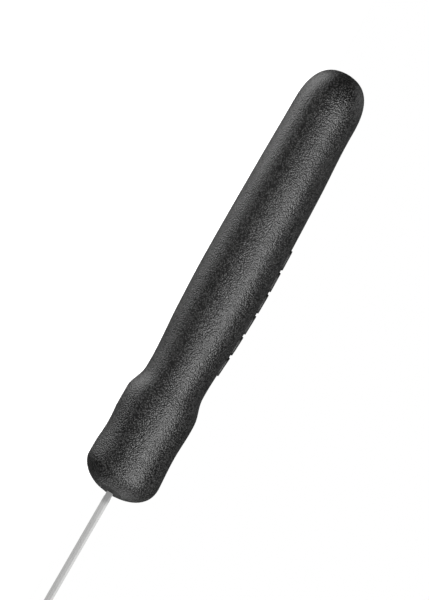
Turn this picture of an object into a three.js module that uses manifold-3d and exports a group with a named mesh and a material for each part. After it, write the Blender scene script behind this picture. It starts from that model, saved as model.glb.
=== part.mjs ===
// Slim flat sharpening steel in three pieces: a steel bar with its tang, a hard core moulded
// round the tang, and a soft grained grip moulded over the core.
// Millimetres. +X runs to the steel's tip, +Z is square to its broad faces, and the tool lies
// on the flank of its grip at z = 0. Places along the handle count backwards from its front end.

import * as THREE from 'three';
import { LoftGeometry } from 'three/addons/geometries/LoftGeometry.js';
import { mergeVertices } from 'three/addons/utils/BufferGeometryUtils.js';
import Module from 'manifold-3d';

// Overall sizes
const HANDLE_LENGTH = 133.6;
const STEEL_REACH = 200;
const FRONT_X = (HANDLE_LENGTH - STEEL_REACH) / 2;
const AXIS_Z = 10.75;
const GAP = 0.3;
const WELD = 1e-4;

// Steel bar and tang
const STEEL_WIDTH = 20;
const STEEL_THICKNESS = 2.1;
const STEEL_CHAMFER = 0.65;
const TIP_RADIUS = 9;
const HEEL_THICKNESS = 1.9;
const HEEL_CLEAR = 1.5;
const HEEL_DEPTH = 4;
const HEEL_RADIUS = 1;
const TANG_WIDTH = 12;
const TANG_LENGTH = 98;
const TANG_END_RADIUS = 4;
const OVERLAP = 2;
const TANG_HOLES = [24, 52, 80];
const HOLE_RADIUS = 2.6;
const PLUG_SIDES = 16;

// Handle form, one row a feature: half thickness along Z, half width along Y, lean of the middle in Z
const STATIONS = [
  { at: 0, thick: 11.2, wide: 15.6, lean: 0.6 }, // front end
  { at: 8, thick: 11.1, wide: 15.6, lean: 0.15 }, // front swell
  { at: 17, thick: 10.6, wide: 15.2, lean: 0.15 }, // waist of the swell
  { at: 28.5, thick: 10.9, wide: 15, lean: 0 }, // rear crest of the swell
  { at: 35.5, thick: 9.1, wide: 14.4, lean: 0.2 }, // neck
  { at: 55, thick: 10, wide: 14.1, lean: 0.15 }, // rise to the belly
  { at: 70, thick: 10.4, wide: 14.3, lean: 0 }, // belly
  { at: 100, thick: 10, wide: 14.3, lean: -0.5 }, // start of the rear taper
  { at: 119, thick: 9.5, wide: 13.7, lean: -0.9 }, // where the butt rounds over
];
const FRONT_CAP = 8.5;
const FRONT_CAP_POWER = 2.25;
const REAR_CAP = 14;
const REAR_CAP_POWER = 2.6;
const SECTION_POWER = 2.35;

// How finely the handle is faceted
const GRIP_COLUMNS = 32;
const CORE_COLUMNS = 20;
const GRIP_STEP = 3.8;
const CORE_STEP = 6.5;
const CAP_ROWS = 7;
const CAP_START = 0.06;

// Skin over the core, and the mouth in its front end
const SKIN = 2.2;
const MOUTH_WIDTH = 24.6;
const MOUTH_HEIGHT = 6.4;
const MOUTH_RADIUS = 2.4;
const MOUTH_DEPTH = 6;
const COLLAR_INSET = 0.25;
const COLLAR_DEPTH = 9;

// Raised grip bars on the upper flank
const BAR_COUNT = 6;
const BAR_FIRST = 43.3;
const BAR_LENGTH = 6;
const BAR_PITCH = 6.86;
const BAR_WIDTH = 9;
const BAR_RADIUS = 1.4;
const BAR_HEIGHT = 0.4;
const ARC_STEPS = 4;

const wasm = await Module();
wasm.setup();

// ---- solids to and from geometry ----

function toSolid(geometry) {
  const bare = new THREE.BufferGeometry();
  bare.setAttribute('position', geometry.getAttribute('position'));
  bare.setIndex(geometry.getIndex());
  const merged = mergeVertices(bare, WELD);
  const vertProperties = new Float32Array(merged.attributes.position.array);
  const triVerts = new Uint32Array(merged.index.array);
  return new wasm.Manifold(new wasm.Mesh({ numProp: 3, vertProperties, triVerts }));
}

function toGeometry(solid) {
  const mesh = solid.getMesh();
  const geometry = new THREE.BufferGeometry();
  geometry.setAttribute('position', new THREE.BufferAttribute(mesh.vertProperties, 3));
  geometry.setIndex(new THREE.BufferAttribute(mesh.triVerts, 1));
  return geometry;
}

function namedMesh(name, solid, colour, roughness, metalness) {
  const geometry = toGeometry(solid);
  const material = new THREE.MeshStandardMaterial({ color: colour, roughness, metalness });
  const mesh = new THREE.Mesh(geometry, material);
  mesh.name = name;
  return mesh;
}

// ---- shared shapes ----

// A rectangle about (0, 0) with rounded corners.
function roundedRectangle(width, height, radius) {
  const x = width / 2;
  const y = height / 2;
  const shape = new THREE.Shape();
  shape.absarc(x - radius, y - radius, radius, 0, Math.PI / 2);
  shape.absarc(radius - x, y - radius, radius, Math.PI / 2, Math.PI);
  shape.absarc(radius - x, radius - y, radius, Math.PI, Math.PI * 1.5);
  shape.absarc(x - radius, radius - y, radius, Math.PI * 1.5, Math.PI * 2);
  return shape;
}

// A bar along X with a rounded-rectangle section, from one place on the handle to a deeper one.
function barAlongHandle(width, height, radius, from, to) {
  const shape = roundedRectangle(width, height, radius);
  const options = { depth: to - from, bevelEnabled: false, curveSegments: ARC_STEPS };
  const geometry = new THREE.ExtrudeGeometry(shape, options);
  geometry.rotateY(Math.PI / 2);
  geometry.rotateX(Math.PI / 2);
  geometry.translate(FRONT_X - to, 0, AXIS_Z);
  return toSolid(geometry);
}

function box(sizeX, sizeY, sizeZ, x, y, z) {
  const geometry = new THREE.BoxGeometry(sizeX, sizeY, sizeZ);
  geometry.translate(x, y, z);
  return toSolid(geometry);
}

// ---- handle form ----

// A smooth curve through the stations' values, level at both ends.
function along(key, at) {
  const last = STATIONS.length - 1;
  if (at <= STATIONS[0].at) return STATIONS[0][key];
  if (at >= STATIONS[last].at) return STATIONS[last][key];
  const i = STATIONS.findIndex((station) => station.at > at) - 1;
  const slope = (k) => {
    if (k === 0 || k === last) return 0;
    const rise = STATIONS[k + 1][key] - STATIONS[k - 1][key];
    return rise / (STATIONS[k + 1].at - STATIONS[k - 1].at);
  };
  const span = STATIONS[i + 1].at - STATIONS[i].at;
  const t = (at - STATIONS[i].at) / span;
  const blend = t * t * (3 - 2 * t);
  const value = STATIONS[i][key] * (1 - blend) + STATIONS[i + 1][key] * blend;
  const leaving = slope(i) * span * t * (1 - t) * (1 - t);
  const arriving = slope(i + 1) * span * t * t * (1 - t);
  return value + leaving - arriving;
}

function roundedPower(value, power) {
  return Math.sign(value) * Math.abs(value) ** (2 / power);
}

// One ring of the handle; swell runs from 0 at the very end of a cap to 1 on the body. The
// points stand half a step off the axes, so that a flat facet, and no ridge, lies underneath.
function ring(at, swell, inset, columns) {
  const thick = (along('thick', at) - inset) * swell;
  const wide = along('wide', at) - inset - (along('thick', at) - inset) * (1 - swell);
  const points = [];
  for (let i = 0; i < columns; i++) {
    const angle = ((i + 0.5) / columns) * Math.PI * 2;
    const y = wide * roundedPower(Math.cos(angle), SECTION_POWER);
    const z = thick * roundedPower(Math.sin(angle), SECTION_POWER);
    points.push(new THREE.Vector3(FRONT_X - at, y, AXIS_Z + along('lean', at) + z));
  }
  return points;
}

// The whole handle form, set in from its outer surface by inset.
function handleForm(inset, columns, step) {
  const rings = [];
  const frontLength = FRONT_CAP - inset;
  for (let i = 0; i < CAP_ROWS; i++) {
    const turn = (CAP_START + (1 - CAP_START) * (i / CAP_ROWS)) * Math.PI / 2;
    const at = inset + frontLength * (1 - roundedPower(Math.cos(turn), FRONT_CAP_POWER));
    rings.push(ring(at, roundedPower(Math.sin(turn), FRONT_CAP_POWER), inset, columns));
  }
  const rearStart = HANDLE_LENGTH - REAR_CAP;
  const bodyRows = Math.ceil((rearStart - FRONT_CAP) / step);
  for (let i = 0; i <= bodyRows; i++) {
    const at = FRONT_CAP + (rearStart - FRONT_CAP) * (i / bodyRows);
    rings.push(ring(at, 1, inset, columns));
  }
  const rearLength = REAR_CAP - inset;
  for (let i = 1; i <= CAP_ROWS; i++) {
    const turn = (1 - CAP_START) * (i / CAP_ROWS) * Math.PI / 2;
    const at = rearStart + rearLength * roundedPower(Math.sin(turn), REAR_CAP_POWER);
    rings.push(ring(at, roundedPower(Math.cos(turn), REAR_CAP_POWER), inset, columns));
  }
  rings.reverse();
  return toSolid(new LoftGeometry(rings, { capStart: true, capEnd: true }));
}

// ---- pieces ----

// A flat plate with its middle plane on the handle's axis and both its rims chamfered.
function chamferedPlate(outline, thickness, chamfer, x) {
  const options = {
    depth: thickness - 2 * chamfer,
    bevelThickness: chamfer,
    bevelSize: chamfer,
    bevelOffset: -chamfer,
    bevelSegments: 1,
    curveSegments: 8,
  };
  const geometry = new THREE.ExtrudeGeometry(outline, options);
  geometry.translate(x, 0, AXIS_Z - thickness / 2 + chamfer);
  return toSolid(geometry);
}

// The bar outside the handle: parallel edges and a blunt, rounded tip.
function makeBar() {
  const length = STEEL_REACH - HEEL_CLEAR;
  const half = STEEL_WIDTH / 2;
  const outline = new THREE.Shape();
  outline.moveTo(0, -half);
  outline.lineTo(length - TIP_RADIUS, -half);
  outline.absarc(length - TIP_RADIUS, TIP_RADIUS - half, TIP_RADIUS, -Math.PI / 2, 0);
  outline.absarc(length - TIP_RADIUS, half - TIP_RADIUS, TIP_RADIUS, 0, Math.PI / 2);
  outline.lineTo(0, half);
  return chamferedPlate(outline, STEEL_THICKNESS, STEEL_CHAMFER, FRONT_X + HEEL_CLEAR);
}

// The heel carries the bar into the handle, a little thinner than the ground faces.
function makeHeel() {
  const length = HEEL_DEPTH + HEEL_CLEAR + OVERLAP;
  const outline = roundedRectangle(length, STEEL_WIDTH, HEEL_RADIUS);
  const chamfer = STEEL_CHAMFER - (STEEL_THICKNESS - HEEL_THICKNESS) / 2;
  return chamferedPlate(outline, HEEL_THICKNESS, chamfer, FRONT_X - HEEL_DEPTH + length / 2);
}

// The tang is narrower than the heel and pierced for the core's plugs.
function makeTang() {
  const length = TANG_LENGTH - HEEL_DEPTH + TANG_END_RADIUS;
  const middle = FRONT_X - TANG_LENGTH + length / 2;
  const outline = roundedRectangle(length, TANG_WIDTH, TANG_END_RADIUS);
  for (const place of TANG_HOLES) {
    const hole = new THREE.Path();
    hole.absarc(FRONT_X - place - middle, 0, HOLE_RADIUS, 0, Math.PI * 2, true);
    outline.holes.push(hole);
  }
  const options = { depth: HEEL_THICKNESS, bevelEnabled: false, curveSegments: 8 };
  const geometry = new THREE.ExtrudeGeometry(outline, options);
  geometry.translate(middle, 0, AXIS_Z - HEEL_THICKNESS / 2);
  return toSolid(geometry);
}

function makeSteel() {
  return makeBar().add(makeHeel()).add(makeTang());
}

// The core fills the skin, shows as a collar round the steel, and locks the tang by solid
// plugs through its holes.
function makeCore() {
  const body = handleForm(SKIN + GAP, CORE_COLUMNS, CORE_STEP);
  const collarWidth = MOUTH_WIDTH - 2 * GAP;
  const collarHeight = MOUTH_HEIGHT - 2 * GAP;
  const block = barAlongHandle(collarWidth, collarHeight, MOUTH_RADIUS - GAP, 0, COLLAR_DEPTH);
  const collar = block.intersect(handleForm(COLLAR_INSET, GRIP_COLUMNS, GRIP_STEP));
  const slotHeight = HEEL_THICKNESS + 2 * GAP;
  const heelSlot = barAlongHandle(STEEL_WIDTH + 2 * GAP, slotHeight, GAP, -1, HEEL_DEPTH + GAP);
  const tangSlot = barAlongHandle(TANG_WIDTH + 2 * GAP, slotHeight, GAP, 0, TANG_LENGTH + GAP);
  let core = body.add(collar).subtract(heelSlot).subtract(tangSlot);
  for (const place of TANG_HOLES) {
    const radius = HOLE_RADIUS - GAP;
    const plug = new THREE.CylinderGeometry(radius, radius, 2 * slotHeight, PLUG_SIDES);
    plug.rotateX(Math.PI / 2);
    plug.translate(FRONT_X - place, 0, AXIS_Z);
    core = core.add(toSolid(plug));
  }
  return core;
}

// Raised bars that follow the handle's own form, a little proud of it.
function makeGripBars() {
  const proud = handleForm(-BAR_HEIGHT, GRIP_COLUMNS, GRIP_STEP);
  const bars = [];
  for (let i = 0; i < BAR_COUNT; i++) {
    const shape = roundedRectangle(BAR_LENGTH, BAR_WIDTH, BAR_RADIUS);
    const options = { depth: AXIS_Z, bevelEnabled: false, curveSegments: ARC_STEPS };
    const cutter = new THREE.ExtrudeGeometry(shape, options);
    const middle = BAR_FIRST + BAR_LENGTH / 2 + i * BAR_PITCH;
    cutter.translate(FRONT_X - middle, 0, AXIS_Z + MOUTH_HEIGHT);
    bars.push(toSolid(cutter).intersect(proud));
  }
  return bars;
}

// The grip is an open-mouthed skin with a flat land on its lower flank to lie on.
function makeGrip() {
  let skin = handleForm(0, GRIP_COLUMNS, GRIP_STEP);
  for (const bar of makeGripBars()) skin = skin.add(bar);
  const hollow = handleForm(SKIN, CORE_COLUMNS, CORE_STEP);
  const mouth = barAlongHandle(MOUTH_WIDTH, MOUTH_HEIGHT, MOUTH_RADIUS, -1, MOUTH_DEPTH);
  const below = box(HANDLE_LENGTH, 2 * STEEL_WIDTH, AXIS_Z, FRONT_X - HANDLE_LENGTH / 2, 0, -AXIS_Z / 2);
  return skin.subtract(hollow).subtract(mouth).subtract(below);
}

const tool = new THREE.Group();
tool.add(namedMesh('steel_bar', makeSteel(), 0xb9b9b7, 0.35, 1));
tool.add(namedMesh('handle_core', makeCore(), 0x1b1b1c, 0.35, 0));
tool.add(namedMesh('grip', makeGrip(), 0x232324, 0.6, 0));

export default tool;
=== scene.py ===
"""Looks for a slim flat sharpening steel: grained soft grip, hard collar, ground and fluted bar.

The tool lies along X with its tip at +X and the broad faces of the bar square to Z.
Sizes of the handle's form are in millimetres and count backwards from the handle's front end;
MM turns them into the frame's metres.
"""
import math

import bmesh
import bpy
from mathutils import Matrix, Vector


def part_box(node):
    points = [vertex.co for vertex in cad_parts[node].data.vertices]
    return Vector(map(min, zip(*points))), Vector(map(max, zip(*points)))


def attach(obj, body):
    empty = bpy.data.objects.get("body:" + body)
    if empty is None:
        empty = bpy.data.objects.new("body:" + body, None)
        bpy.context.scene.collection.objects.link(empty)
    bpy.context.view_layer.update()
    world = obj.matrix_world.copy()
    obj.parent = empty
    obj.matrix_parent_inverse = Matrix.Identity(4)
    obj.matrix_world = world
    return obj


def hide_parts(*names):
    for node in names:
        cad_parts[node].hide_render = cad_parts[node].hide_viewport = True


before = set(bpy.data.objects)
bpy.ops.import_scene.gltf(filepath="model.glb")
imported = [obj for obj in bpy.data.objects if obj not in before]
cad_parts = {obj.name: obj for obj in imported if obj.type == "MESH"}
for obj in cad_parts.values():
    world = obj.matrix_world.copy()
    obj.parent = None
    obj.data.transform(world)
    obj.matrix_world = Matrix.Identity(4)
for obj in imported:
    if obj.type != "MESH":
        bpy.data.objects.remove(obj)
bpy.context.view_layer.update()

MM = 0.001
STEEL_LOW, STEEL_HIGH = (Vector(corner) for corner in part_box("steel_bar"))
GRIP_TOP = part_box("grip")[1][2]

# ---- driving sizes, in millimetres ----

STEEL_REACH = 200.0
STEEL_WIDTH = (STEEL_HIGH.y - STEEL_LOW.y) / MM
STEEL_THICKNESS = (STEEL_HIGH.z - STEEL_LOW.z) / MM
STEEL_CHAMFER = 0.65
CHAMFER_MIDDLE = 0.3
SIDE_ARRIS_NEAR = 0.015
SIDE_ARRIS_FAR = 0.05
SIDE_ARRIS_DROP = 0.06
FACE_ARRIS = 0.07
FACE_ARRIS_DROP = 0.018
RIM_MARGIN = 0.05
SIDE_FADE = 0.15
TIP_RADIUS = 9.0
HEEL_THICKNESS = 1.9
HEEL_CLEAR = 1.5
HEEL_DEPTH = 4.0
HEEL_BEVEL = 0.1
SHOULDER = 0.001
TANG_WIDTH = 12.0
TANG_LENGTH = 98.0
TANG_HOLES = (24.0, 52.0, 80.0)
HOLE_RADIUS = 2.6

AXIS_Z = (STEEL_LOW.z + STEEL_HIGH.z) / 2 / MM
FRONT_X = STEEL_HIGH.x / MM - STEEL_REACH
HANDLE_LENGTH = 133.6

# one row for each feature of the form, from the front end to where the butt starts to round:
# place behind the front end, half thickness (Z), half width (Y), lean of the middle (Z)
STATIONS = (
    (0.0, 11.2, 15.6, 0.6),  # front end
    (8.0, 11.1, 15.6, 0.15),  # front swell
    (17.0, 10.6, 15.2, 0.15),  # waist of the swell
    (28.5, 10.9, 15.0, 0.0),  # rear crest of the swell
    (35.5, 9.1, 14.4, 0.2),  # neck
    (55.0, 10.0, 14.1, 0.15),  # rise to the belly
    (70.0, 10.4, 14.3, 0.0),  # belly
    (100.0, 10.0, 14.3, -0.5),  # start of the rear taper
    (119.0, 9.5, 13.7, -0.9),  # where the butt rounds over
)
THICK, WIDE, LEAN = 1, 2, 3
FRONT_CAP = 8.5
FRONT_CAP_POWER = 2.25
REAR_CAP = 14.0
REAR_CAP_POWER = 2.6
SECTION_POWER = 2.35
FACE_SWELL = 0.85
SKIN = 2.2
WALL_LEAD = 0.3
MOUTH = (24.6, 6.4, 2.4)
SEAM = 0.03
MOUTH_EDGE = 0.03
SLOT_EDGE = 0.1
SLOT_CORNER = 0.4

BAR_COUNT = 6
BAR_FIRST = 43.3
BAR_SIZE = (6.0, 9.0, 1.4)
BAR_PITCH = 6.86
BAR_HEIGHT = 0.4
BAR_EDGE = 0.16
BAR_ROOT = 0.5
BAR_TOP_INSETS = (0.8, 1.6, 2.4)
BAR_LEAST_CORNER = 0.15

FLUTE_PITCH = 0.55
FLUTE_DEPTH = 0.09
FLUTE_MARGIN = 1.1
FLUTE_FADE = 1.2
FLUTE_START = 7.0
FLUTE_RUN_OUT = 5.0
# painted shade on the bar next to the handle: where it starts, and over how many millimetres it fades
HEEL_SHADE_START = 0.3
HEEL_SHADE_LENGTH = 3.2
TANG_END_RADIUS = 4.0

# how finely the forms are drawn: the seen skins first, then the hidden ones
COLUMNS = 144
FACE_COLUMNS = 256
BODY_STEP, HIDDEN_STEP = 1.0, 5.0
FRONT_RINGS, HIDDEN_FRONT_RINGS = 12, 3
REAR_RINGS, HIDDEN_REAR_RINGS = 26, 8
FACE_RINGS = 9
RIM_STEPS = 3
TANG_END_STEPS = 8
RUN_OUT_STEP = 0.5
RUN_OUT_STEPS = 25
BAR_STEPS = 16
TIP_LEAD = 4
TIP_STEPS = 44

# ---- looks ----

EDGE_GRIND_ANGLE = 35
STEEL_DARK = (0.52, 0.52, 0.515)
STEEL_LIGHT = (0.74, 0.74, 0.735)
# colour of the painted shade on the bar next to the handle
STEEL_HEEL_SHADE = (0.3, 0.3, 0.3)
STEEL_ROUGHNESS = (0.26, 0.38)
GRINDING_SHARE = 0.82
# width and length of one grinding mark, in metres
FACE_MARK = (0.00009, 0.02)
EDGE_MARK = (0.00022, 0.004)

FLOOR_HALF = 2.0
FLOOR_DROP = 0.0004
FLOOR_GLOW = 0.98
ROOM_LIGHT = 0.06

# name, angle round the tool, offset along it, distance, length, width, radiance; metres
HANDLE_LIGHTS = (
    ("key_softbox", 34, 0.175, 1.1, 0.46, 0.82, 16.0),
    ("front_panel", 160, 1.0, 0.3, 0.9, 0.9, 1.8),
    ("side_panel", 21, 0.75, 0.8, 0.5, 0.6, 2.5),
    ("fill_panel", -28, 0.05, 1.1, 1.2, 1.5, 0.22),
    ("under_panel", -112, -0.42, 0.9, 0.9, 1.0, 3.2),
    ("rear_panel", 134, -0.55, 0.95, 0.5, 0.5, 1.0),
)
BAR_TENT = (
    ("bar_front", 0, 0.1, 1.0, 1.7, 1.7, 0.72),
    ("bar_top", 90, 0.1, 1.0, 1.7, 1.7, 1.0),
    ("bar_under", -90, 0.1, 1.0, 1.7, 1.7, 0.66),
    ("bar_back", 180, 0.1, 1.0, 1.7, 1.7, 0.8),
    ("bar_tip_end", 90, 1.0, 0.3, 1.4, 1.4, 0.8),
    ("bar_butt_end", 90, -1.0, 0.3, 1.4, 1.4, 0.5),
)

# the tip points down to the left at this angle from the upright
TILT = 30
LENS = 250
FAR_CLIP = 50
FIELD_HEIGHT = 166.7
VIEW_MIDDLE = (61.14, -1.64)


# ---- the handle's form ----

def along(column, at):
    """One value of the handle's form at a place: a smooth curve through the stations."""
    last = len(STATIONS) - 1
    if at <= STATIONS[0][0]:
        return STATIONS[0][column]
    if at >= STATIONS[last][0]:
        return STATIONS[last][column]
    i = max(k for k in range(last) if STATIONS[k][0] <= at)

    def slope(k):
        if k in (0, last):
            return 0.0
        rise = STATIONS[k + 1][column] - STATIONS[k - 1][column]
        return rise / (STATIONS[k + 1][0] - STATIONS[k - 1][0])

    span = STATIONS[i + 1][0] - STATIONS[i][0]
    t = (at - STATIONS[i][0]) / span
    blend = t * t * (3 - 2 * t)
    value = STATIONS[i][column] * (1 - blend) + STATIONS[i + 1][column] * blend
    leaving = slope(i) * span * t * (1 - t) ** 2
    arriving = slope(i + 1) * span * t * t * (1 - t)
    return value + leaving - arriving


def signed_power(value, power):
    return math.copysign(abs(value) ** (2 / power), value)


def section(at, swell, inset):
    """Half thickness and half width of the form at a place; swell is 1 on the body."""
    thick = along(THICK, at) - inset
    wide = along(WIDE, at) - inset
    return thick * swell, wide - thick * (1 - swell)


def form_ring(at, swell=1.0, inset=0.0):
    """A ring of points round the form, as (place, y, z from the axis)."""
    thick, wide = section(at, swell, inset)
    lean = along(LEAN, at)
    ring = []
    for i in range(COLUMNS):
        angle = math.tau * i / COLUMNS
        y = wide * signed_power(math.cos(angle), SECTION_POWER)
        z = thick * signed_power(math.sin(angle), SECTION_POWER) + lean
        ring.append((at, y, z))
    return ring


def front_place(y, z, inset=0.0):
    """How far behind the front end the front cap lies at a point of its face."""
    low, high = 0.0, 1.0
    for _ in range(30):
        swell = (low + high) / 2
        at = front_cap_place(swell, inset)
        thick, wide = section(at, swell, inset)
        height = z - along(LEAN, at)
        reach = 2.0
        if thick > 0 and wide > 0:
            reach = abs(y / wide) ** SECTION_POWER + abs(height / thick) ** SECTION_POWER
        if reach > 1:
            low = swell
        else:
            high = swell
    return front_cap_place(high, inset)


def front_cap_place(swell, inset=0.0):
    depth = (1 - swell ** FRONT_CAP_POWER) ** (1 / FRONT_CAP_POWER)
    return inset + (FRONT_CAP - inset) * (1 - depth)


def front_rings(first_swell, count, inset=0.0):
    """Rings of the front cap, from the body towards the front."""
    rings = []
    start = math.acos(first_swell)
    for i in range(1, count + 1):
        swell = math.cos(start * i / count)
        rings.append(form_ring(front_cap_place(swell, inset), swell, inset))
    return rings


def body_rings(step, inset=0.0):
    """Rings of the body, from the rear towards the front."""
    rear = HANDLE_LENGTH - REAR_CAP
    count = math.ceil((rear - FRONT_CAP) / step)
    return [form_ring(rear + (FRONT_CAP - rear) * i / count, 1.0, inset) for i in range(count + 1)]


def rear_rings(count, inset=0.0):
    """Rings of the rounded butt, from its very end towards the front."""
    rings = []
    for i in range(1, count):
        turn = math.pi / 2 * (1 - i / count)
        swell = signed_power(math.cos(turn), REAR_CAP_POWER)
        depth = (REAR_CAP - inset) * signed_power(math.sin(turn), REAR_CAP_POWER)
        rings.append(form_ring(HANDLE_LENGTH - REAR_CAP + depth, swell, inset))
    return rings


def slot_outline(width, height, radius):
    """Points evenly round a rounded rectangle across the handle, as (y, z from the axis)."""
    radius = min(radius, height / 2 - 1e-4)
    flat_y, flat_z = width / 2 - radius, height / 2 - radius
    quarter = math.pi / 2 * radius
    pieces = [flat_z, quarter, 2 * flat_y, quarter, 2 * flat_z, quarter, 2 * flat_y, quarter, flat_z]
    total = sum(pieces)
    points = []
    for i in range(COLUMNS):
        run = total * i / COLUMNS
        k = 0
        while run > pieces[k] and k < len(pieces) - 1:
            run -= pieces[k]
            k += 1
        turn = run / radius
        side_y, side_z = width / 2, height / 2
        if k == 0:
            points.append((side_y, run))
        elif k == 1:
            points.append((flat_y + radius * math.cos(turn), flat_z + radius * math.sin(turn)))
        elif k == 2:
            points.append((flat_y - run, side_z))
        elif k == 3:
            points.append((-flat_y - radius * math.sin(turn), flat_z + radius * math.cos(turn)))
        elif k == 4:
            points.append((-side_y, flat_z - run))
        elif k == 5:
            points.append((-flat_y - radius * math.cos(turn), -flat_z - radius * math.sin(turn)))
        elif k == 6:
            points.append((-flat_y + run, -side_z))
        elif k == 7:
            points.append((flat_y + radius * math.sin(turn), -flat_z - radius * math.cos(turn)))
        else:
            points.append((side_y, -flat_z + run))
    return points


# ---- meshes ----

def to_world(point):
    at, y, z = point
    return Vector((FRONT_X - at, y, AXIS_Z + z)) * MM


def new_object(name, mesh_data):
    mesh = bpy.data.meshes.new(name)
    mesh_data.to_mesh(mesh)
    mesh_data.free()
    piece = bpy.data.objects.new(name, mesh)
    bpy.context.collection.objects.link(piece)
    return piece


def loft(name, rings, lowest=None):
    """A closed skin through rings, from a pole at the first ring to one at the last."""
    bm = bmesh.new()
    rows = []
    for ring in rings:
        row = []
        for point in ring:
            place = to_world(point)
            if lowest is not None:
                place.z = max(place.z, lowest)
            row.append(bm.verts.new(place))
        rows.append(row)
    for near, far in zip(rows, rows[1:]):
        for i in range(COLUMNS):
            j = (i + 1) % COLUMNS
            bm.faces.new((near[i], near[j], far[j], far[i]))
    for row in (rows[0], rows[-1]):
        middle = bm.verts.new(sum((v.co for v in row), Vector()) / COLUMNS)
        for i in range(COLUMNS):
            bm.faces.new((row[i], row[(i + 1) % COLUMNS], middle))
    bmesh.ops.recalc_face_normals(bm, faces=bm.faces)
    for face in bm.faces:
        face.smooth = True
    return new_object(name, bm)


def face_ring(outline, inset=0.0, sink=0.0):
    """A slot's outline laid on the front cap, or sunk behind it."""
    return [(front_place(y, z, inset) + sink, y, z) for y, z in outline]


def flat_ring(outline, at):
    return [(at, y, z) for y, z in outline]


def mixed_rings(first, last, count):
    """Rings between two others on the front cap, following the cap's form."""
    rings = []
    for i in range(1, count):
        t = i / count
        points = [(a[1] + (b[1] - a[1]) * t, a[2] + (b[2] - a[2]) * t) for a, b in zip(first, last)]
        rings.append(face_ring(points))
    return rings


def rounded_rim(size, radius, steps, inward):
    """Rings that roll from the front cap into a slot, or over a collar's edge."""
    width, height, corner = size
    rings = []
    for i in range(steps + 1):
        turn = math.pi / 2 * i / steps
        grow = radius * (1 - math.sin(turn)) * (1 if inward else -1)
        outline = slot_outline(width + 2 * grow, height + 2 * grow, corner + grow)
        rings.append(face_ring(outline, sink=radius * (1 - math.cos(turn))))
    return rings


def make_grip():
    """The soft skin: outer form, rolled mouth, and the hollow that the core fills."""
    outer = rear_rings(REAR_RINGS) + body_rings(BODY_STEP) + front_rings(FACE_SWELL, FRONT_RINGS)
    lip = rounded_rim(MOUTH, MOUTH_EDGE, RIM_STEPS, inward=True)
    outer += mixed_rings(outer[-1], lip[0], FACE_RINGS) + lip
    wall = [(max(front_place(y, z, SKIN), SKIN + WALL_LEAD), y, z) for y, z in slot_outline(*MOUTH)]
    inner = [wall] + front_rings(FACE_SWELL, HIDDEN_FRONT_RINGS, SKIN)[::-1]
    inner += body_rings(HIDDEN_STEP, SKIN)[::-1] + rear_rings(HIDDEN_REAR_RINGS, SKIN)[::-1]
    return loft("grip_skin", outer + inner, lowest=0.0)


def make_core():
    """The hard core: body, collar with a rounded edge, and the slot for the heel and tang."""
    inset = SKIN + SEAM
    body = rear_rings(HIDDEN_REAR_RINGS, inset) + body_rings(HIDDEN_STEP, inset)
    body += front_rings(FACE_SWELL, HIDDEN_FRONT_RINGS, inset)
    size = tuple(value - 2 * SEAM for value in MOUTH[:2]) + (MOUTH[2] - SEAM,)
    root = [(max(front_place(y, z, inset), inset + WALL_LEAD), y, z) for y, z in slot_outline(*size)]
    rim = rounded_rim(size, MOUTH_EDGE, RIM_STEPS, inward=False)
    slot = (STEEL_WIDTH + 2 * SEAM, HEEL_THICKNESS + 2 * SEAM, SLOT_CORNER)
    dish = rounded_rim(slot, SLOT_EDGE, RIM_STEPS, inward=True)
    heel_end = flat_ring(slot_outline(*slot), HEEL_DEPTH + SEAM)
    tang = slot_outline(TANG_WIDTH + 2 * SEAM, HEEL_THICKNESS + 2 * SEAM, SLOT_CORNER)
    pocket = [flat_ring(tang, HEEL_DEPTH + SEAM), flat_ring(tang, TANG_LENGTH + SEAM)]
    return loft("core_moulding", body + [root] + rim[::-1] + dish + [heel_end] + pocket)


# ---- the bar ----

def edge_distance(x, y):
    """How far a point of the bar lies inside its outline, which is rounded at the tip."""
    half = STEEL_WIDTH / 2
    over_x = x - (STEEL_REACH - TIP_RADIUS)
    over_y = abs(y) - (half - TIP_RADIUS)
    if over_x > 0 and over_y > 0:
        return TIP_RADIUS - math.hypot(over_x, over_y)
    return min(half - abs(y), STEEL_REACH - x)


def half_width(x):
    """Half the bar's width at a distance x in front of the handle; behind it, heel and tang."""
    if x < -HEEL_DEPTH:
        over = max(TANG_END_RADIUS - (x + TANG_LENGTH), 0.0)
        return TANG_WIDTH / 2 - TANG_END_RADIUS + math.sqrt(TANG_END_RADIUS ** 2 - over ** 2)
    over = max(x - (STEEL_REACH - TIP_RADIUS), 0.0)
    return STEEL_WIDTH / 2 - TIP_RADIUS + math.sqrt(max(TIP_RADIUS ** 2 - over ** 2, 0.0))


def face_height(depth, half_height):
    """Height of the chamfered face above the middle plane, a given depth inside the outline."""
    chamfer = STEEL_CHAMFER - (STEEL_THICKNESS / 2 - half_height)
    corner = half_height - chamfer
    profile = (
        (0.0, corner - SIDE_ARRIS_DROP),
        (SIDE_ARRIS_NEAR, corner - SIDE_ARRIS_NEAR),
        (SIDE_ARRIS_FAR, corner + SIDE_ARRIS_FAR),
        (chamfer - FACE_ARRIS, half_height - FACE_ARRIS),
        (chamfer, half_height - FACE_ARRIS_DROP),
        (chamfer + FACE_ARRIS, half_height),
    )
    for (d0, z0), (d1, z1) in zip(profile, profile[1:]):
        if depth <= d1:
            return z0 + (z1 - z0) * max(depth - d0, 0.0) / (d1 - d0)
    return half_height


def smooth(value):
    t = min(max(value, 0.0), 1.0)
    return t * t * (3 - 2 * t)


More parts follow.
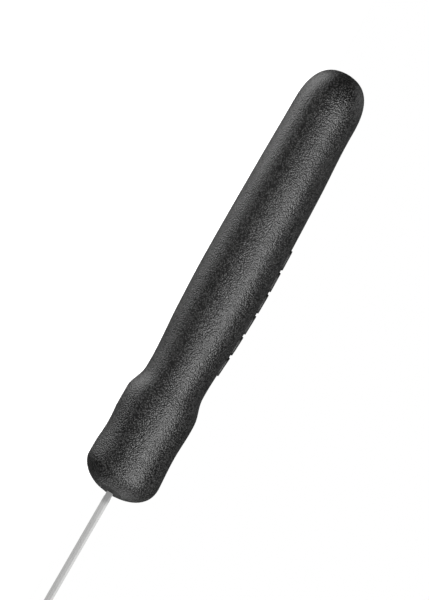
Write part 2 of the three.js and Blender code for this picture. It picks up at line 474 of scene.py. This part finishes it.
def face_columns(x):
    """Places across one broad face at x, from one long edge to the other."""
    half = half_width(x)
    rim = (
        0.0, SIDE_ARRIS_NEAR, SIDE_ARRIS_FAR, CHAMFER_MIDDLE,
        STEEL_CHAMFER - FACE_ARRIS, STEEL_CHAMFER, STEEL_CHAMFER + FACE_ARRIS,
    )
    scale = min(half / (STEEL_WIDTH / 2), 1.0)
    left = [half - depth * scale for depth in rim]
    inner = half - (rim[-1] + RIM_MARGIN) * scale
    middle = [inner * (1 - 2 * i / FACE_COLUMNS) for i in range(FACE_COLUMNS + 1)]
    return left + middle + [-y for y in reversed(left)]


def bar_places():
    """Places along the bar, close together where its shape changes."""
    tang_end = [
        TANG_END_RADIUS * (1 - math.cos(math.pi / 2 * i / TANG_END_STEPS)) - TANG_LENGTH
        for i in range(TANG_END_STEPS + 1)]
    heel = [-HEEL_DEPTH - SHOULDER, -HEEL_DEPTH, HEEL_CLEAR, HEEL_CLEAR + HEEL_BEVEL]
    run_out = [HEEL_CLEAR + HEEL_BEVEL + RUN_OUT_STEP * i for i in range(1, RUN_OUT_STEPS + 1)]
    tip_start = STEEL_REACH - TIP_RADIUS - TIP_LEAD
    body = [run_out[-1] + (tip_start - run_out[-1]) * i / BAR_STEPS for i in range(1, BAR_STEPS + 1)]
    tip = [
        STEEL_REACH - (STEEL_REACH - tip_start) * math.cos(math.pi / 2 * i / TIP_STEPS)
        for i in range(1, TIP_STEPS + 1)]
    return tang_end + heel + run_out + body + tip


def bar_blank():
    """The whole strip before its faces are fluted, with how far each point is to be cut."""
    bm = bmesh.new()
    cut = bm.verts.layers.float.new("cut")
    side = bm.verts.layers.float.new("side")
    heel = bm.verts.layers.float.new("heel")
    rows = []
    for x in bar_places():
        columns = face_columns(x)
        half_height = (STEEL_THICKNESS if x > HEEL_CLEAR + HEEL_BEVEL / 2 else HEEL_THICKNESS) / 2
        row = []
        for sign in (1, -1):
            for y in (columns if sign > 0 else reversed(columns)):
                depth = max(edge_distance(x, y), 0.0)
                height = face_height(depth, half_height) if x > -HEEL_DEPTH else half_height
                place = Vector((FRONT_X + x, y, AXIS_Z + sign * height)) * MM
                vert = bm.verts.new(place)
                inside = smooth((depth - FLUTE_MARGIN) / FLUTE_FADE)
                vert[cut] = inside * smooth((x - FLUTE_START) / FLUTE_RUN_OUT)
                vert[side] = 1 - smooth((depth - STEEL_CHAMFER) / SIDE_FADE)
                # heel mask: painted shade, darkest at the handle and fading over the bar's first few
                # millimetres
                vert[heel] = 1 - smooth((x - HEEL_SHADE_START) / HEEL_SHADE_LENGTH)
                row.append(vert)
        rows.append(row)
    count = len(rows[0])
    for near, far in zip(rows, rows[1:]):
        for i in range(count):
            j = (i + 1) % count
            bm.faces.new((near[i], near[j], far[j], far[i]))
    bm.faces.new(rows[0])
    bm.faces.new(list(reversed(rows[-1])))
    bmesh.ops.remove_doubles(bm, verts=bm.verts, dist=1e-7)
    bmesh.ops.recalc_face_normals(bm, faces=bm.faces)
    for face in bm.faces:
        face.smooth = all(vert[side] < 0.5 for vert in face.verts)
    return new_object("bar_blank", bm)


def tang_drill():
    """Cylinders that pierce the tang."""
    bm = bmesh.new()
    for place in TANG_HOLES:
        made = bmesh.ops.create_cone(
            bm, cap_ends=True, segments=48,
            radius1=HOLE_RADIUS * MM, radius2=HOLE_RADIUS * MM, depth=2 * STEEL_THICKNESS * MM)
        middle = Vector((FRONT_X - place, 0, AXIS_Z)) * MM
        bmesh.ops.translate(bm, verts=made["verts"], vec=middle)
    return new_object("tang_drill", bm)


# ---- geometry node trees ----

class Tree:
    """A node tree with short calls for adding, setting and linking nodes."""

    def __init__(self, name, kind, inputs, outputs):
        self.tree = bpy.data.node_groups.new(name, kind)
        for label, socket_type, default in inputs:
            socket = self.tree.interface.new_socket(label, in_out="INPUT", socket_type=socket_type)
            if default is not None:
                socket.default_value = default
        for label, socket_type in outputs:
            self.tree.interface.new_socket(label, in_out="OUTPUT", socket_type=socket_type)
        self.inputs = self.tree.nodes.new("NodeGroupInput")
        self.outputs = self.tree.nodes.new("NodeGroupOutput")

    def add(self, kind, **settings):
        return add_node(self.tree, kind, **settings)

    def link(self, source, target):
        self.tree.links.new(source, target)

    def math(self, operation, first, second=None, third=None):
        return math_node(self.tree, operation, first, second, third)

    def given(self, label):
        return self.inputs.outputs[label]


def add_node(tree, kind, **settings):
    node = tree.nodes.new(kind)
    for key, value in settings.items():
        setattr(node, key, value)
    return node


def fill(tree, socket, value):
    """Links a socket to another one, or sets it to a plain value."""
    if isinstance(value, bpy.types.NodeSocket):
        tree.links.new(value, socket)
    else:
        socket.default_value = value


def math_node(tree, operation, first, second=None, third=None):
    node = add_node(tree, "ShaderNodeMath", operation=operation)
    for socket, value in zip(node.inputs, (first, second, third)):
        if value is not None:
            fill(tree, socket, value)
    return node.outputs[0]


def flute_tree():
    """Cuts even lengthwise flutes, sharp at the crest and round in the valley, into both faces."""
    tree = Tree(
        "cut_flutes", "GeometryNodeTree",
        [("Geometry", "NodeSocketGeometry", None), ("Pitch", "NodeSocketFloat", 0.0),
         ("Depth", "NodeSocketFloat", 0.0), ("Middle Height", "NodeSocketFloat", 0.0),
         ("Finish", "NodeSocketMaterial", None)],
        [("Geometry", "NodeSocketGeometry")])
    place = tree.add("ShaderNodeSeparateXYZ")
    tree.link(tree.add("GeometryNodeInputPosition").outputs[0], place.inputs[0])
    cut = tree.add("GeometryNodeInputNamedAttribute", data_type="FLOAT")
    cut.inputs["Name"].default_value = "cut"
    turn = tree.math("MULTIPLY", tree.math("DIVIDE", place.outputs["Y"], tree.given("Pitch")), math.pi)
    valley = tree.math("ABSOLUTE", tree.math("COSINE", turn))
    share = tree.math("MULTIPLY", valley, cut.outputs["Attribute"])
    depth = tree.math("MULTIPLY", share, tree.given("Depth"))
    above = tree.math("SIGN", tree.math("SUBTRACT", place.outputs["Z"], tree.given("Middle Height")))
    inwards = tree.math("MULTIPLY", tree.math("MULTIPLY", above, depth), -1.0)
    offset = tree.add("ShaderNodeCombineXYZ")
    tree.link(inwards, offset.inputs["Z"])
    move = tree.add("GeometryNodeSetPosition")
    tree.link(tree.given("Geometry"), move.inputs["Geometry"])
    tree.link(offset.outputs[0], move.inputs["Offset"])
    finish_tree(tree, move.outputs["Geometry"])
    return tree.tree


def bar_row_tree():
    """Repeats one pad in a row and lays every copy on the skin below it."""
    tree = Tree(
        "raised_bars", "GeometryNodeTree",
        [("Geometry", "NodeSocketGeometry", None), ("Skin", "NodeSocketObject", None),
         ("Count", "NodeSocketInt", 1), ("Pitch", "NodeSocketFloat", 0.0),
         ("First", "NodeSocketFloat", 0.0), ("Above", "NodeSocketFloat", 0.0),
         ("Finish", "NodeSocketMaterial", None)],
        [("Geometry", "NodeSocketGeometry")])
    start = tree.add("ShaderNodeCombineXYZ")
    tree.link(tree.given("First"), start.inputs["X"])
    step = tree.add("ShaderNodeCombineXYZ")
    tree.link(tree.math("MULTIPLY", tree.given("Pitch"), -1.0), step.inputs["X"])
    row = tree.add("GeometryNodeMeshLine", mode="OFFSET")
    tree.link(tree.given("Count"), row.inputs["Count"])
    tree.link(start.outputs[0], row.inputs["Start Location"])
    tree.link(step.outputs[0], row.inputs["Offset"])
    copies = tree.add("GeometryNodeInstanceOnPoints")
    tree.link(row.outputs[0], copies.inputs["Points"])
    tree.link(tree.given("Geometry"), copies.inputs["Instance"])
    solid = tree.add("GeometryNodeRealizeInstances")
    tree.link(copies.outputs[0], solid.inputs[0])
    skin = tree.add("GeometryNodeObjectInfo", transform_space="ORIGINAL")
    tree.link(tree.given("Skin"), skin.inputs["Object"])
    place = tree.add("ShaderNodeSeparateXYZ")
    tree.link(tree.add("GeometryNodeInputPosition").outputs[0], place.inputs[0])
    above = tree.add("ShaderNodeCombineXYZ")
    tree.link(place.outputs["X"], above.inputs["X"])
    tree.link(place.outputs["Y"], above.inputs["Y"])
    tree.link(tree.given("Above"), above.inputs["Z"])
    drop = tree.add("GeometryNodeRaycast")
    tree.link(skin.outputs["Geometry"], drop.inputs["Target Geometry"])
    tree.link(above.outputs[0], drop.inputs["Source Position"])
    drop.inputs["Ray Direction"].default_value = (0, 0, -1)
    landed = tree.add("ShaderNodeSeparateXYZ")
    tree.link(drop.outputs["Hit Position"], landed.inputs[0])
    laid = tree.add("ShaderNodeCombineXYZ")
    tree.link(place.outputs["X"], laid.inputs["X"])
    tree.link(place.outputs["Y"], laid.inputs["Y"])
    tree.link(tree.math("ADD", landed.outputs["Z"], place.outputs["Z"]), laid.inputs["Z"])
    move = tree.add("GeometryNodeSetPosition")
    tree.link(solid.outputs[0], move.inputs["Geometry"])
    tree.link(laid.outputs[0], move.inputs["Position"])
    finish_tree(tree, move.outputs["Geometry"])
    return tree.tree


def finish_tree(tree, geometry):
    """Ends a tree in real geometry with its material."""
    real = tree.add("GeometryNodeRealizeInstances")
    tree.link(geometry, real.inputs[0])
    finish = tree.add("GeometryNodeSetMaterial")
    tree.link(real.outputs[0], finish.inputs["Geometry"])
    tree.link(tree.given("Finish"), finish.inputs["Material"])
    tree.link(finish.outputs[0], tree.outputs.inputs["Geometry"])


def plain_mesh(name, source):
    """The evaluated shape of an object as a plain mesh object; the source is removed."""
    bpy.context.view_layer.update()
    shape = source.evaluated_get(bpy.context.evaluated_depsgraph_get())
    mesh = bpy.data.meshes.new_from_object(shape)
    mesh.name = name
    piece = bpy.data.objects.new(name, mesh)
    bpy.context.collection.objects.link(piece)
    bpy.data.objects.remove(source)
    return piece


def run_tree(name, source, tree, values):
    """Runs a geometry node tree on an object and keeps the result as a plain mesh."""
    modifier = source.modifiers.new(tree.name, "NODES")
    modifier.node_group = tree
    for socket in tree.interface.items_tree:
        if socket.in_out == "INPUT" and socket.name in values:
            modifier[socket.identifier] = values[socket.name]
    return plain_mesh(name, source)


def make_bar(steel):
    """The bar: the blank strip, pierced at the tang, with fluted faces."""
    blank = bar_blank()
    drill = tang_drill()
    pierce = blank.modifiers.new("pierce", "BOOLEAN")
    pierce.operation = "DIFFERENCE"
    pierce.solver = "EXACT"
    pierce.object = drill
    pierced = plain_mesh("pierced_blank", blank)
    bpy.data.objects.remove(drill)
    values = {
        "Pitch": FLUTE_PITCH * MM,
        "Depth": FLUTE_DEPTH * MM,
        "Middle Height": AXIS_Z * MM,
        "Finish": steel,
    }
    return run_tree("fluted_bar", pierced, flute_tree(), values)


def bar_pad():
    """One grip bar about the origin; its heights count from the skin."""
    length, width, corner = BAR_SIZE
    edge = BAR_EDGE
    levels = [
        (0.0, -BAR_ROOT), (0.0, BAR_HEIGHT - edge), (0.3 * edge, BAR_HEIGHT - 0.3 * edge),
        (edge, BAR_HEIGHT),
    ]
    levels += [(inset, BAR_HEIGHT) for inset in BAR_TOP_INSETS]
    bm = bmesh.new()
    rows = []
    for inset, height in levels:
        rounding = max(corner - inset, BAR_LEAST_CORNER)
        outline = slot_outline(length - 2 * inset, width - 2 * inset, rounding)
        rows.append([bm.verts.new(Vector((x, y, height)) * MM) for x, y in outline[::2]])
    for near, far in zip(rows, rows[1:]):
        for i, vert in enumerate(near):
            j = (i + 1) % len(near)
            bm.faces.new((vert, near[j], far[j], far[i]))
    for row in (rows[0], rows[-1]):
        middle = bm.verts.new(sum((v.co for v in row), Vector()) / len(row))
        for i, vert in enumerate(row):
            bm.faces.new((vert, row[(i + 1) % len(row)], middle))
    bmesh.ops.recalc_face_normals(bm, faces=bm.faces)
    for face in bm.faces:
        face.smooth = True
    return new_object("bar_pad", bm)


def make_grip_bars(grip, rubber):
    values = {
        "Skin": grip,
        "Count": BAR_COUNT,
        "Pitch": BAR_PITCH * MM,
        "First": (FRONT_X - BAR_FIRST - BAR_SIZE[0] / 2) * MM,
        "Above": 2 * GRIP_TOP,
        "Finish": rubber,
    }
    return run_tree("grip_bars", bar_pad(), bar_row_tree(), values)


# ---- shader groups ----

def grain_group():
    """Fine moulded grain: rounded pebbles over a softer unevenness."""
    tree = Tree(
        "moulded_grain", "ShaderNodeTree",
        [("Pebble Size", "NodeSocketFloat", 0.0005), ("Unevenness", "NodeSocketFloat", 0.4)],
        [("Height", "NodeSocketFloat"), ("Tone", "NodeSocketFloat")])
    place = tree.add("ShaderNodeTexCoord").outputs["Object"]
    density = tree.math("DIVIDE", 1.0, tree.given("Pebble Size"))
    pebbles = tree.add("ShaderNodeTexVoronoi", feature="SMOOTH_F1")
    pebbles.inputs["Smoothness"].default_value = 0.6
    tree.link(place, pebbles.inputs["Vector"])
    tree.link(density, pebbles.inputs["Scale"])
    swells = tree.add("ShaderNodeTexNoise")
    swells.inputs["Detail"].default_value = 3.0
    tree.link(place, swells.inputs["Vector"])
    tree.link(tree.math("MULTIPLY", density, 1.5), swells.inputs["Scale"])
    crown = tree.math("SUBTRACT", 1.0, pebbles.outputs["Distance"])
    blend = tree.add("ShaderNodeMix", data_type="FLOAT")
    tree.link(tree.given("Unevenness"), blend.inputs["Factor"])
    tree.link(crown, blend.inputs["A"])
    tree.link(swells.outputs[0], blend.inputs["B"])
    tree.link(blend.outputs["Result"], tree.outputs.inputs["Height"])
    tone = tree.add("ShaderNodeMapRange")
    tone.inputs["From Min"].default_value = 0.5
    tone.inputs["From Max"].default_value = 0.75
    tree.link(blend.outputs["Result"], tone.inputs["Value"])
    tree.link(tone.outputs[0], tree.outputs.inputs["Tone"])
    return tree.tree


def handling_group():
    """Slow changes over a surface, from handling and from the mould."""
    tree = Tree(
        "handling", "ShaderNodeTree",
        [("Patch Size", "NodeSocketFloat", 0.02), ("Low", "NodeSocketFloat", 0.0),
         ("High", "NodeSocketFloat", 1.0)],
        [("Value", "NodeSocketFloat")])
    patches = tree.add("ShaderNodeTexNoise")
    patches.inputs["Detail"].default_value = 4.0
    tree.link(tree.add("ShaderNodeTexCoord").outputs["Object"], patches.inputs["Vector"])
    tree.link(tree.math("DIVIDE", 1.0, tree.given("Patch Size")), patches.inputs["Scale"])
    span = tree.add("ShaderNodeMapRange")
    span.inputs["From Min"].default_value = 0.3
    span.inputs["From Max"].default_value = 0.7
    tree.link(patches.outputs[0], span.inputs["Value"])
    tree.link(tree.given("Low"), span.inputs["To Min"])
    tree.link(tree.given("High"), span.inputs["To Max"])
    tree.link(span.outputs[0], tree.outputs.inputs["Value"])
    return tree.tree


def scratch_group():
    """Long fine scratches from grinding, at an angle to the bar's length."""
    tree = Tree(
        "grinding", "ShaderNodeTree",
        [("Angle", "NodeSocketFloat", 0.0), ("Scratch Width", "NodeSocketFloat", 0.0001),
         ("Scratch Length", "NodeSocketFloat", 0.01)],
        [("Height", "NodeSocketFloat")])
    turn = tree.add("ShaderNodeVectorRotate", rotation_type="Y_AXIS")
    tree.link(tree.add("ShaderNodeTexCoord").outputs["Object"], turn.inputs["Vector"])
    tree.link(tree.given("Angle"), turn.inputs["Angle"])
    across = tree.math("DIVIDE", 1.0, tree.given("Scratch Width"))
    scale = tree.add("ShaderNodeCombineXYZ")
    tree.link(tree.math("DIVIDE", 1.0, tree.given("Scratch Length")), scale.inputs["X"])
    tree.link(across, scale.inputs["Y"])
    tree.link(across, scale.inputs["Z"])
    stretch = tree.add("ShaderNodeVectorMath", operation="MULTIPLY")
    tree.link(turn.outputs[0], stretch.inputs[0])
    tree.link(scale.outputs[0], stretch.inputs[1])
    lines = tree.add("ShaderNodeTexNoise")
    lines.inputs["Scale"].default_value = 1.0
    lines.inputs["Detail"].default_value = 3.0
    tree.link(stretch.outputs[0], lines.inputs["Vector"])
    tree.link(lines.outputs[0], tree.outputs.inputs["Height"])
    return tree.tree


# ---- materials ----

def new_material(name, metallic, specular):
    material = bpy.data.materials.new(name)
    material.use_nodes = True
    shader = material.node_tree.nodes["Principled BSDF"]
    shader.inputs["Metallic"].default_value = metallic
    shader.inputs["Specular IOR Level"].default_value = specular
    return material, material.node_tree, shader


def place_group(tree, group, **values):
    node = add_node(tree, "ShaderNodeGroup", node_tree=group)
    for label, value in values.items():
        fill(tree, node.inputs[label.replace("_", " ")], value)
    return node


def mix_colour(tree, factor, low, high):
    node = add_node(tree, "ShaderNodeMix", data_type="RGBA")
    fill(tree, node.inputs["Factor"], factor)
    node.inputs["A"].default_value = (*low, 1)
    node.inputs["B"].default_value = (*high, 1)
    return node.outputs["Result"]


def add_bump(tree, shader, height, strength, distance):
    bump = add_node(tree, "ShaderNodeBump")
    bump.inputs["Strength"].default_value = strength
    bump.inputs["Distance"].default_value = distance
    tree.links.new(height, bump.inputs["Height"])
    tree.links.new(bump.outputs[0], shader.inputs["Normal"])


def moulded_finish(name, groups, low, high, roughness, pebble, relief, specular):
    """A dark moulded finish: grain, slightly uneven tone, and roughness that drifts."""
    material, tree, shader = new_material(name, 0.0, specular)
    grain = place_group(tree, groups["grain"], Pebble_Size=pebble, Unevenness=0.2)
    drift = place_group(tree, groups["handling"], Patch_Size=0.018, Low=roughness[0], High=roughness[1])
    tree.links.new(mix_colour(tree, grain.outputs["Tone"], low, high), shader.inputs["Base Color"])
    tree.links.new(drift.outputs["Value"], shader.inputs["Roughness"])
    add_bump(tree, shader, grain.outputs["Height"], 1.0, relief)
    return material


def steel_finish(groups):
    """Ground steel: lengthwise scratches on the broad faces, slanting ones on the edges, and painted shade
    beside the handle.
    """
    material, tree, shader = new_material("ground_steel", 1.0, 0.5)
    faces = place_group(
        tree, groups["grinding"], Angle=0.0,
        Scratch_Width=FACE_MARK[0], Scratch_Length=FACE_MARK[1])
    edges = place_group(
        tree, groups["grinding"], Angle=math.radians(EDGE_GRIND_ANGLE),
        Scratch_Width=EDGE_MARK[0], Scratch_Length=EDGE_MARK[1])
    side = add_node(tree, "ShaderNodeAttribute", attribute_name="side")
    height = add_node(tree, "ShaderNodeMix", data_type="FLOAT")
    tree.links.new(side.outputs["Fac"], height.inputs["Factor"])
    tree.links.new(faces.outputs["Height"], height.inputs["A"])
    tree.links.new(edges.outputs["Height"], height.inputs["B"])
    drift = place_group(tree, groups["handling"], Patch_Size=0.012, Low=0.0, High=1.0)
    marks = math_node(tree, "MULTIPLY", height.outputs["Result"], GRINDING_SHARE)
    patches = math_node(tree, "MULTIPLY", drift.outputs["Value"], 1 - GRINDING_SHARE)
    shade = math_node(tree, "ADD", marks, patches)
    colour = add_node(tree, "ShaderNodeMix", data_type="RGBA")
    # painted shade: the heel mask darkens the bar's colour next to the handle
    heel = add_node(tree, "ShaderNodeAttribute", attribute_name="heel")
    tree.links.new(heel.outputs["Fac"], colour.inputs["Factor"])
    tree.links.new(mix_colour(tree, shade, STEEL_DARK, STEEL_LIGHT), colour.inputs["A"])
    colour.inputs["B"].default_value = (*STEEL_HEEL_SHADE, 1)
    tree.links.new(colour.outputs["Result"], shader.inputs["Base Color"])
    rough = add_node(tree, "ShaderNodeMapRange")
    rough.inputs["To Min"].default_value = STEEL_ROUGHNESS[0]
    rough.inputs["To Max"].default_value = STEEL_ROUGHNESS[1]
    tree.links.new(height.outputs["Result"], rough.inputs["Value"])
    tree.links.new(rough.outputs[0], shader.inputs["Roughness"])
    add_bump(tree, shader, height.outputs["Result"], 0.5, 0.00002)
    return material


def make_materials():
    groups = {"grain": grain_group(), "handling": handling_group(), "grinding": scratch_group()}
    return {
        "rubber": moulded_finish(
            "grained_rubber", groups, low=(0.001, 0.001, 0.001), high=(0.07, 0.07, 0.069),
            roughness=(0.38, 0.44), pebble=0.0004, relief=0.00019, specular=0.5),
        "bars": moulded_finish(
            "smooth_rubber", groups, low=(0.002, 0.002, 0.002), high=(0.03, 0.03, 0.0295),
            roughness=(0.42, 0.5), pebble=0.0003, relief=0.00006, specular=0.4),
        "core": moulded_finish(
            "hard_plastic", groups, low=(0.003, 0.003, 0.003), high=(0.02, 0.02, 0.0198),
            roughness=(0.5, 0.6), pebble=0.0003, relief=0.00005, specular=0.4),
        "steel": steel_finish(groups),
    }


def give(piece, material, node):
    """Dresses a piece, hangs it on the root body and hides the CAD node it stands for."""
    piece.data.materials.clear()
    piece.data.materials.append(material)
    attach(piece, "root")
    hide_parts(node)


# ---- stage ----

def make_floor():
    bm = bmesh.new()
    bmesh.ops.create_grid(bm, x_segments=1, y_segments=1, size=FLOOR_HALF)
    bmesh.ops.translate(bm, verts=bm.verts, vec=(0, 0, -FLOOR_DROP))
    floor = new_object("floor", bm)
    material, _, shader = new_material("pale_floor", 0.0, 0.2)
    shader.inputs["Base Color"].default_value = (0.9, 0.9, 0.9, 1)
    shader.inputs["Roughness"].default_value = 0.9
    shader.inputs["Emission Color"].default_value = (1, 1, 1, 1)
    shader.inputs["Emission Strength"].default_value = FLOOR_GLOW
    floor.data.materials.append(material)
    floor.visible_diffuse = False
    floor.visible_glossy = False
    floor.visible_shadow = False
    return floor


def make_world():
    """White to look at, and a dimmer even light on the tool."""
    world = bpy.data.worlds.new("studio")
    bpy.context.scene.world = world
    world.use_nodes = True
    tree = world.node_tree
    backdrop = tree.nodes["Background"]
    backdrop.inputs["Color"].default_value = (1, 1, 1, 1)
    light = add_node(tree, "ShaderNodeBackground")
    light.inputs["Color"].default_value = (1, 1, 1, 1)
    light.inputs["Strength"].default_value = ROOM_LIGHT
    seen = add_node(tree, "ShaderNodeLightPath")
    either = add_node(tree, "ShaderNodeMixShader")
    tree.links.new(seen.outputs["Is Camera Ray"], either.inputs[0])
    tree.links.new(light.outputs[0], either.inputs[1])
    tree.links.new(backdrop.outputs[0], either.inputs[2])
    tree.links.new(either.outputs[0], tree.nodes["World Output"].inputs["Surface"])


def softbox(name, target, angle, along_tool, distance, length, width, radiance):
    """A panel facing the handle. Its angle turns round the tool: 0 in front, 90 above."""
    turn = math.radians(angle)
    offset = Vector((along_tool, -math.cos(turn) * distance, math.sin(turn) * distance))
    data = bpy.data.lights.new(name, "AREA")
    data.shape = "RECTANGLE"
    data.size = length
    data.size_y = width
    data.energy = radiance * math.pi * length * width
    panel = bpy.data.objects.new(name, data)
    back = offset.normalized()
    side = (Vector((1, 0, 0)) - back * back.x).normalized()
    up = back.cross(side)
    panel.matrix_world = Matrix.Translation(target + offset) @ Matrix((side, up, back)).transposed().to_4x4()
    panel.visible_camera = False
    bpy.context.collection.objects.link(panel)
    return panel


def make_lights(handle_pieces, bar_pieces):
    """Shaped light for the black handle, and an even tent of light for the bright bar."""
    target = Vector((FRONT_X - HANDLE_LENGTH / 2, 0, AXIS_Z)) * MM
    for rig, lit in ((HANDLE_LIGHTS, handle_pieces), (BAR_TENT, bar_pieces)):
        for name, *settings in rig:
            panel = softbox(name, target, *settings)
            receivers = bpy.data.collections.new(name + "_lights")
            for piece in lit:
                receivers.objects.link(piece)
            panel.light_linking.receiver_collection = receivers


def make_camera():
    """Looks square at the handle's narrow side, rolled so that the tip points down and left."""
    data = bpy.data.cameras.new("camera")
    data.lens = LENS
    data.clip_end = FAR_CLIP
    camera = bpy.data.objects.new("camera", data)
    tilt = math.radians(TILT)
    right = Vector((-math.sin(tilt), 0, math.cos(tilt)))
    up = Vector((-math.cos(tilt), 0, -math.sin(tilt)))
    back = right.cross(up)
    distance = FIELD_HEIGHT * MM * LENS / data.sensor_width
    target = Vector((FRONT_X - VIEW_MIDDLE[0], 0, AXIS_Z + VIEW_MIDDLE[1])) * MM
    turn = Matrix((right, up, back)).transposed().to_4x4()
    camera.matrix_world = Matrix.Translation(target + back * distance) @ turn
    bpy.context.collection.objects.link(camera)
    bpy.context.scene.camera = camera


def main():
    make_camera()
    materials = make_materials()
    grip = make_grip()
    bars = make_grip_bars(grip, materials["bars"])
    core = make_core()
    bar = make_bar(materials["steel"])
    give(grip, materials["rubber"], "grip")
    give(bars, materials["bars"], "grip")
    give(core, materials["core"], "handle_core")
    give(bar, materials["steel"], "steel_bar")
    floor = make_floor()
    make_world()
    make_lights((grip, bars, core, floor), (bar,))
    bpy.context.scene.view_settings.view_transform = "Standard"


main()
